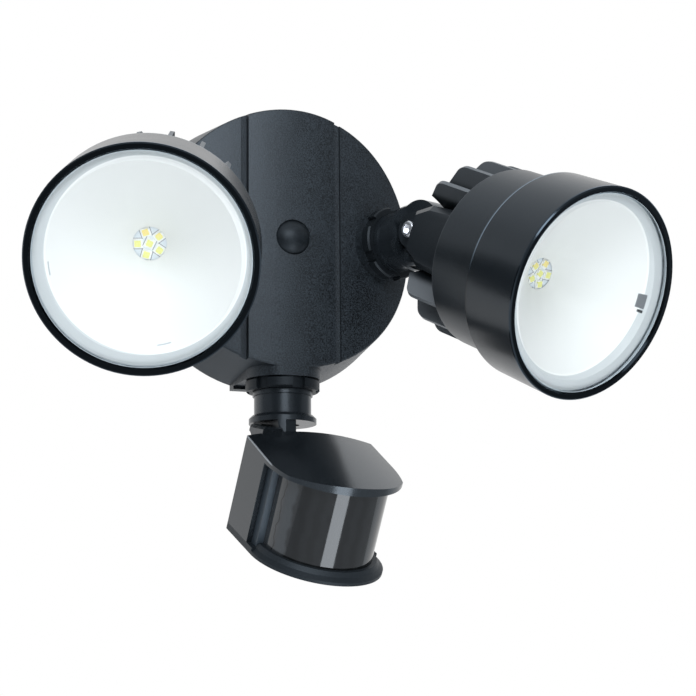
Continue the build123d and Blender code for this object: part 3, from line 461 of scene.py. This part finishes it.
class SECURITYLIGHT_OT_canopy(bpy.types.Operator):
    """Paint the wall canopy, its plug and its gasket, and add the walls of its grooves"""

    bl_idname = "security_light.canopy"
    bl_label = "Finish Canopy"

    def execute(self, context):
        settings = context.scene.security_light
        coat = satin_coat("canopy coat", settings.coat_level, settings.coat_roughness, 0.9, CANOPY_GRAIN)
        coat.paint("canopy_housing")
        self.groove_walls(coat)
        rubber = satin_coat("plug rubber", 0.012, 0.45, 0.2, RUBBER_GRAIN)
        rubber.put("Specular IOR Level", 0.3)
        rubber.paint("bolt_plug")
        self.gasket()
        return {"FINISHED"}

    def groove_walls(self, coat):
        """Upright walls between the centre band and the floors of its two grooves."""
        near, far = GROOVE_WALL_X
        for name, low, high in (("left_groove_wall", -far, -near), ("right_groove_wall", near, far)):
            corners = zip((low, high), GROOVE_WALL_Y, GROOVE_WALL_Z)
            wall = box_piece(name, *corners)
            coat.paint(wall)
            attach(wall, "canopy")

    def gasket(self):
        """Closed cell foam."""
        foam = Finish("gasket foam", Specular_IOR_Level=0.3)
        place = foam.place()
        cells = foam.node("ShaderNodeTexVoronoi", None, {"Vector": place, "Scale": FOAM_GRAIN})
        cloud = foam.noise(place, FOAM_CLOUDS)
        pore = cells.rise(0.25, 0.6)
        foam.put("Base Color", (pore * 0.6 + cloud * 0.4).mix(grey(0.012), grey(0.035)))
        foam.put("Roughness", pore * 0.15 + 0.7)
        foam.bump(cells, 0.00006)
        foam.paint("wall_gasket")


class SECURITYLIGHT_OT_arms(bpy.types.Operator):
    """Paint the three arm stems and their locknuts"""

    bl_idname = "security_light.arms"
    bl_label = "Finish Arms"

    def execute(self, context):
        settings = context.scene.security_light
        coat = satin_coat("arm coat", settings.coat_level * 0.9, settings.coat_roughness - 0.14, 0.08)
        nut = satin_coat("locknut coat", settings.coat_level * 0.6, settings.coat_roughness + 0.02, 0.15)
        nut.put("Specular IOR Level", 0.25)
        for side in (*SIDES, "sensor"):
            coat.paint(f"{side}_arm_stem")
            nut.paint(f"{side}_arm_locknut")
        return {"FINISHED"}


class SECURITYLIGHT_OT_heads(bpy.types.Operator):
    """Paint the two lamp heads: casting, bezel, lens, reflector and LEDs"""

    bl_idname = "security_light.heads"
    bl_label = "Finish Lamp Heads"

    def execute(self, context):
        settings = context.scene.security_light
        level = settings.coat_level * 0.75
        rubber = satin_coat("lens gasket rubber", 0.02, 0.6, 0.3, PLASTIC_GRAIN)
        for side in SIDES:
            self.casting(side, level, settings.coat_roughness - 0.08)
            rubber.paint(f"{side}_head_lens_gasket")
            self.bezel(side, level, settings.coat_roughness - 0.17)
            self.lens(side)
            self.reflector(side)
            self.board(side)
            self.chips(side)
        return {"FINISHED"}

    def axes(self, finish, side):
        """How far a point lies across, behind the rim, up, and from the head's axis."""
        across, depth, up = finish.split(finish.place(head_frame(side)))
        return across, depth, up, (across * across + up * up) ** 0.5

    def casting(self, side, level, roughness):
        """Satin coat, duller on the fins behind the drum and painted paler there as painted sheen."""
        finish = satin_coat(f"{side} head coat", level, roughness, 0.15)
        _, depth, _, radius = self.axes(finish, side)
        fin_sheen = depth.rise(FIN_DEPTH, FIN_DEPTH_FULL) * radius.rise(FIN_INNER, FIN_OUTER)
        # Painted sheen: the fins are painted paler to stand in for the light they catch.
        finish.put("Base Color", fin_sheen.mix(finish.take("Base Color"), cool(level * 12, 0.05)))
        finish.put("Roughness", finish.take("Roughness") + fin_sheen * 0.12)
        finish.paint(f"{side}_head_housing")

    def bezel(self, side, level, roughness):
        """Satin ring with a polished black front edge that has a painted highlight line at its outer
        border, and a rear seam with a painted highlight at the top and painted shade below.
        """
        finish = satin_coat(f"{side} bezel coat", level, roughness, 0.1)
        _, depth, up, radius = self.axes(finish, side)
        edge = depth.rise(BEZEL_EDGE, BEZEL_EDGE_FULL)
        # A painted highlight line along the outer border of the black front edge.
        highlight_line = radius.rise(BEZEL_HIGHLIGHT_LINE, BEZEL_HIGHLIGHT_LINE + SOFT_LINE)
        seam = depth.rise(BEZEL_SEAM, BEZEL_SEAM + SOFT_LINE)
        # Painted light on the seam: painted shade low down, a painted highlight at the top.
        seam_highlight_and_shade = up.rise(SEAM_SHADE_UP, SEAM_HIGHLIGHT_UP).mix(cool(0.002), cool(0.16))
        paint = seam.mix(finish.take("Base Color"), seam_highlight_and_shade)
        finish.put("Base Color", edge.mix(paint, highlight_line.mix(cool(0.01), cool(0.05))))
        finish.put("Metallic", edge)
        finish.put("Roughness", finish.take("Roughness") * (1 - edge) + edge * 0.13)
        finish.paint(f"{side}_head_bezel")

    def lens(self, side):
        """Clear glass with a painted highlight on its stepped outer edge, paler and less clear there."""
        finish = Finish(f"{side} lens", Roughness=0.04, Specular_IOR_Level=0.5)
        *_, radius = self.axes(finish, side)
        # Painted highlight: the glass's stepped edge is painted pale and less clear.
        edge = radius.rise(LENS_EDGE, LENS_EDGE_FULL)
        finish.put("Base Color", edge.mix(LENS_CLEAR, LENS_EDGE_HIGHLIGHT))
        finish.put("Alpha", edge * 0.55 + 0.03)
        finish.paint(f"{side}_head_lens")

    def reflector(self, side):
        """White cone with painted shade deep inside, in a greyer flange, with a painted highlight line
        and two catches near its mouth.
        """
        finish = Finish(f"{side} reflector", Specular_IOR_Level=0.3)
        across, depth, up, radius = self.axes(finish, side)
        cloud = finish.noise(finish.place(), CONE_CLOUDS)
        shift, mouth = REFLECTOR_MOUTH[side]
        aside = across - shift
        above = up - REFLECTOR_RISE
        spread = (aside * aside + above * above) ** 0.5
        flange = spread.rise(mouth, mouth + FLANGE_STEP)
        # A painted highlight line just inside the mouth's edge.
        highlight_line = spread.band(mouth - MOUTH_LINE, mouth, MOUTH_SOFT)
        # Painted shade: the cone darkens deeper inside, with random clouds on top.
        depth_shade_and_clouds = depth.rise(CONE_BACK, CONE_FRONT) * 0.7 + cloud * 0.3
        cone = depth_shade_and_clouds.mix(CONE_DEEP_SHADE, CONE_FRONT_WHITE)
        ring = flange.mix(cone, FLANGE_GREY)
        paint = highlight_line.mix(ring, MOUTH_HIGHLIGHT)
        turn = across.angle(up) * DEGREES
        for angles, radii, level in CATCHES[side]:
            catch = turn.band(*angles) * radius.band(*(length * MM for length in radii))
            paint = catch.mix(paint, cool(level, 0.04))
        finish.put("Base Color", paint)
        finish.put("Roughness", flange * -0.15 + 0.45)
        finish.paint(f"{side}_head_reflector")

    def board(self, side):
        """White board with tracks beside the chips, and round test pads."""
        finish = Finish(f"{side} LED board", Roughness=0.45)
        across, _, up, radius = self.axes(finish, side)
        frames = 0.0
        tracks = 0.0
        for index in CHIPS:
            out, along = distance_from_chip(across, up, side, index)
            frames = out.most(along).rise(CHIP_FRAME, CHIP_FRAME_FULL).most(frames)
            track = along.band(TRACK_FROM, TRACK_TO, TRACK_SOFT) * out.rise(TRACK_END, CHIP_FRAME_FULL)
            tracks = track.most(tracks)
        pads = finish.node("ShaderNodeTexVoronoi", None, {"Vector": finish.place(), "Scale": PAD_GRAIN})
        pads = pads.rise(0.16, 0.1) * (1 - frames)
        paint = (radius * BOARD_SHADE).mix(LED_BOARD_INNER, LED_BOARD_OUTER)
        paint = frames.mix(paint, FRAME_WHITE)
        paint = tracks.mix(paint, LED_TRACK)
        finish.put("Base Color", pads.mix(paint, LED_PAD))
        finish.paint(f"{side}_head_led_board")

    def chips(self, side):
        """Yellow phosphor windows in white frames."""
        finish = Finish(f"{side} LED chips", Specular_IOR_Level=0.5)
        across, _, up, _ = self.axes(finish, side)
        nearest = 1.0
        for index in CHIPS:
            out, along = distance_from_chip(across, up, side, index)
            nearest = out.most(along).least(nearest)
        phosphor = nearest.rise(PHOSPHOR_EDGE, PHOSPHOR_FULL)
        warmth = up.rise(WARM_FROM, WARM_TO)
        yellow = warmth.mix(PHOSPHOR_LOW, PHOSPHOR_HIGH)
        finish.put("Base Color", phosphor.mix(FRAME_WHITE, yellow))
        finish.put("Roughness", phosphor * 0.2 + 0.3)
        finish.paint(f"{side}_head_led_chips")


class SECURITYLIGHT_OT_sensor(bpy.types.Operator):
    """Paint the sensor: gloss housing, smoky window, base and dials"""

    bl_idname = "security_light.sensor"
    bl_label = "Finish Sensor"

    def execute(self, context):
        level = context.scene.security_light.plastic_level
        self.housing(level)
        trim = satin_coat("sensor trim", level * 4.5, 0.3, 0.05, PLASTIC_GRAIN)
        trim.paint("sensor_lens_frame")
        base = satin_coat("sensor base plastic", level * 1.2, 0.5, 0.1, PLASTIC_GRAIN)
        base.put("Specular IOR Level", 0.3)
        base.paint("sensor_base")
        self.window()
        dial = satin_coat("dial plastic", 0.03, 0.45, 0.3, PLASTIC_GRAIN)
        dial.paint("sensor_dial_1", "sensor_dial_2", "sensor_dial_3")
        can = Finish("detector can", Base_Color=grey(0.5), Metallic=1.0)
        fine = can.noise(can.place(), STEEL_GRAIN)
        can.put("Roughness", fine * 0.15 + 0.2)
        can.paint("sensor_detector")
        return {"FINISHED"}

    def housing(self, level):
        """Gloss plastic with a painted highlight along the hood's left edge."""
        finish = satin_coat("sensor plastic", level, 0.2, 0.15, PLASTIC_GRAIN)
        across, depth, up = finish.split(finish.place(sensor_frame()))
        edge_height = depth * HOOD_SLOPE + HOOD_EDGE_UP
        # Painted highlight: a pale line where the hood's top meets its left side.
        edge = across.rise(*(HOOD_LEFT + inward for inward in HOOD_HIGHLIGHT_SIDE))
        edge = edge * (up - edge_height).rise(*HOOD_HIGHLIGHT_TOP)
        finish.put("Base Color", edge.mix(finish.take("Base Color"), cool(0.3, 0.05)))
        finish.paint("sensor_housing")

    def window(self):
        """Smoky window with faint upright facets, a painted reflection that makes it paler at the left,
        and a dark seam.
        """
        finish = Finish("sensor window", Specular_IOR_Level=0.5)
        across, depth, up = finish.split(finish.place(sensor_frame()))
        wobble = (up * 480.0).sine() * 1.2 + (up * 1130.0).sine() * 0.6
        turn = (across - WINDOW_AXIS_X).angle(WINDOW_AXIS_Y - depth) * DEGREES + wobble
        facets = (turn * (math.pi / FACET_PITCH)).sine().rise(-0.9, 0.9)
        # Painted reflection: the window's left part is painted paler.
        left = turn.rise(WINDOW_REFLECTION_FROM, WINDOW_REFLECTION_FULL)
        seam = turn.band(*WINDOW_SEAM, 0.4)
        base = (facets * 0.1 + left * 0.9).mix(cool(0.005, 0.08), cool(0.04, 0.08))
        finish.put("Base Color", seam.mix(base, cool(0.003, 0.1)))
        finish.put("Roughness", facets * 0.03 + 0.06)
        finish.paint("sensor_lens")


class SECURITYLIGHT_OT_fixings(bpy.types.Operator):
    """Paint the screws, nuts, strap, bolt and circuit boards"""

    bl_idname = "security_light.fixings"
    bl_label = "Finish Fixings"

    def execute(self, context):
        steel = Finish("bright steel", Base_Color=STEEL, Metallic=1.0)
        fine = steel.noise(steel.place(), STEEL_GRAIN)
        steel.put("Roughness", fine * 0.15 + 0.2)
        steel.bump(fine, 0.00002)
        steel.paint("mounting_strap", "mounting_bolt", "board_screws", "board_standoffs")
        steel.paint("sensor_case_screws")
        for owner in ("left_head", "right_head", "sensor"):
            steel.paint(f"{owner}_hinge_screw", f"{owner}_hinge_nut")
        self.boards()
        parts = satin_coat("board components", 0.04, 0.4, 0.3, PLASTIC_GRAIN)
        parts.paint("board_components")
        return {"FINISHED"}

    def boards(self):
        """Green boards with paler tracks and round pads."""
        board = Finish("circuit board", Roughness=0.4)
        place = board.place()
        across, _, up = board.split(place)
        bend = board.noise(place, BOARD_CLOUDS) * BOARD_BEND
        track = (across * BOARD_WAVES_ACROSS + bend).sine().band(0.55, 0.95, 0.1)
        track = track * (up * BOARD_WAVES_UP + bend).sine().rise(-0.2, 0.1)
        pads = board.node("ShaderNodeTexVoronoi", None, {"Vector": place, "Scale": BOARD_PADS})
        pads = pads.rise(0.2, 0.14)
        paint = track.mix(BOARD_GREEN, BOARD_TRACK)
        board.put("Base Color", pads.mix(paint, SOLDER))
        board.paint("control_board", "sensor_board")


class SECURITYLIGHT_OT_stage(bpy.types.Operator):
    """Set up the floor, soft lights, pale surroundings and camera"""

    bl_idname = "security_light.stage"
    bl_label = "Set Up Stage"

    def execute(self, context):
        settings = context.scene.security_light
        self.floor()
        self.area("key", *KEY, settings.key_power, settings)
        self.area("strip", *STRIP, settings.strip_power, settings)
        self.surroundings(context.scene, settings)
        self.camera(context.scene, settings)
        context.scene.view_settings.view_transform = "Standard"
        return {"FINISHED"}

    def floor(self):
        mesh = bpy.data.meshes.new("floor")
        signs = ((-1, -1), (1, -1), (1, 1), (-1, 1))
        corners = [(x * FLOOR_HALF, y * FLOOR_HALF, FLOOR_HEIGHT) for x, y in signs]
        mesh.from_pydata(corners, [], [(0, 1, 2, 3)])
        plane = bpy.data.objects.new("floor", mesh)
        bpy.context.scene.collection.objects.link(plane)
        paint = Finish("floor paint", Base_Color=FLOOR_PALE, Roughness=0.8)
        paint.paint(plane)

    def area(self, name, heading, height, distance, size, power, settings):
        """A soft light seen from the middle of the light at a heading and height in degrees."""
        data = bpy.data.lights.new(name, "AREA")
        data.shape = "RECTANGLE"
        data.size, data.size_y = size
        data.energy = power
        data.color = settings.light_color
        turn, rise = math.radians(heading), math.radians(height)
        flat = math.cos(rise)
        aim = Vector((math.sin(turn) * flat, -math.cos(turn) * flat, math.sin(rise)))
        lamp = bpy.data.objects.new(name, data)
        lamp.location = STAGE_MIDDLE + aim * distance
        lamp.rotation_euler = (-aim).to_track_quat("-Z", "Y").to_euler()
        bpy.context.scene.collection.objects.link(lamp)

    def surroundings(self, scene, settings):
        """White seen straight, through glass and in what mirrors the back; plain light elsewhere."""
        world = bpy.data.worlds.new("studio")
        scene.world = world
        world.use_nodes = True
        tree = world.node_tree
        tree.nodes.clear()
        output = tree.nodes.new("ShaderNodeOutputWorld")
        seen = tree.nodes.new("ShaderNodeBackground")
        seen.inputs["Color"].default_value = (*settings.background, 1.0)
        studio = tree.nodes.new("ShaderNodeBackground")
        studio.inputs["Color"].default_value = (*settings.light_color, 1.0)
        direction = tree.nodes.new("ShaderNodeTexCoord")
        split = tree.nodes.new("ShaderNodeSeparateXYZ")
        tree.links.new(direction.outputs["Generated"], split.inputs[0])
        x, y, z = (Field(tree, socket) for socket in split.outputs)
        behind = y.rise(*BEHIND)
        above = z.rise(*ABOVE) * ABOVE_SHARE
        low_side = z.rise(*BELOW) * abs(x).rise(*ASIDE) * BELOW_SHARE
        level = (behind * (z * BEHIND_SLOPE + 1.0)).most(above).most(low_side)
        level = level * (settings.back_level - settings.front_level) + settings.front_level
        tree.links.new(level.socket, studio.inputs["Strength"])
        path = tree.nodes.new("ShaderNodeLightPath")
        rays = ("Is Camera Ray", "Is Transmission Ray", "Is Glossy Ray")
        camera, through, mirrored = (Field(tree, path.outputs[name]) for name in rays)
        shown = camera.most(through).most(mirrored * behind)
        mix = tree.nodes.new("ShaderNodeMixShader")
        tree.links.new(shown.socket, mix.inputs[0])
        tree.links.new(studio.outputs[0], mix.inputs[1])
        tree.links.new(seen.outputs[0], mix.inputs[2])
        tree.links.new(mix.outputs[0], output.inputs[0])

    def camera(self, scene, settings):
        data = bpy.data.cameras.new("camera")
        data.sensor_width = 36.0
        data.lens = settings.camera_lens
        data.dof.use_dof = False
        camera = bpy.data.objects.new("camera", data)
        turn = Matrix.Rotation(settings.camera_yaw, 3, "Z")
        turn = turn @ Matrix.Rotation(math.radians(90) + settings.camera_pitch, 3, "X")
        turn = turn @ Matrix.Rotation(settings.camera_roll, 3, "Z")
        camera.matrix_world = Matrix.Translation(Vector(settings.camera_place)) @ turn.to_4x4()
        scene.collection.objects.link(camera)
        scene.camera = camera


class SECURITYLIGHT_PT_panel(bpy.types.Panel):
    """Finishes and stage of the security light"""

    bl_idname = "SECURITYLIGHT_PT_panel"
    bl_label = "Security Light"
    bl_space_type = "VIEW_3D"
    bl_region_type = "UI"
    bl_category = "Security Light"

    def draw(self, context):
        settings = context.scene.security_light
        for name in SecurityLightSettings.__annotations__:
            self.layout.prop(settings, name)
        for operator in OPERATORS:
            self.layout.operator(operator.bl_idname)


OPERATORS = (
    SECURITYLIGHT_OT_canopy,
    SECURITYLIGHT_OT_arms,
    SECURITYLIGHT_OT_heads,
    SECURITYLIGHT_OT_sensor,
    SECURITYLIGHT_OT_fixings,
    SECURITYLIGHT_OT_stage,
)
CLASSES = (SecurityLightSettings, *OPERATORS, SECURITYLIGHT_PT_panel)


def register():
    for cls in CLASSES:
        bpy.utils.register_class(cls)
    bpy.types.Scene.security_light = PointerProperty(type=SecurityLightSettings)


def unregister():
    del bpy.types.Scene.security_light
    for cls in reversed(CLASSES):
        bpy.utils.unregister_class(cls)


def main():
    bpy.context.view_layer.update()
    register()
    bpy.ops.security_light.canopy()
    bpy.ops.security_light.arms()
    bpy.ops.security_light.heads()
    bpy.ops.security_light.sensor()
    bpy.ops.security_light.fixings()
    bpy.ops.security_light.stage()


if __name__ == "__main__":
    main()
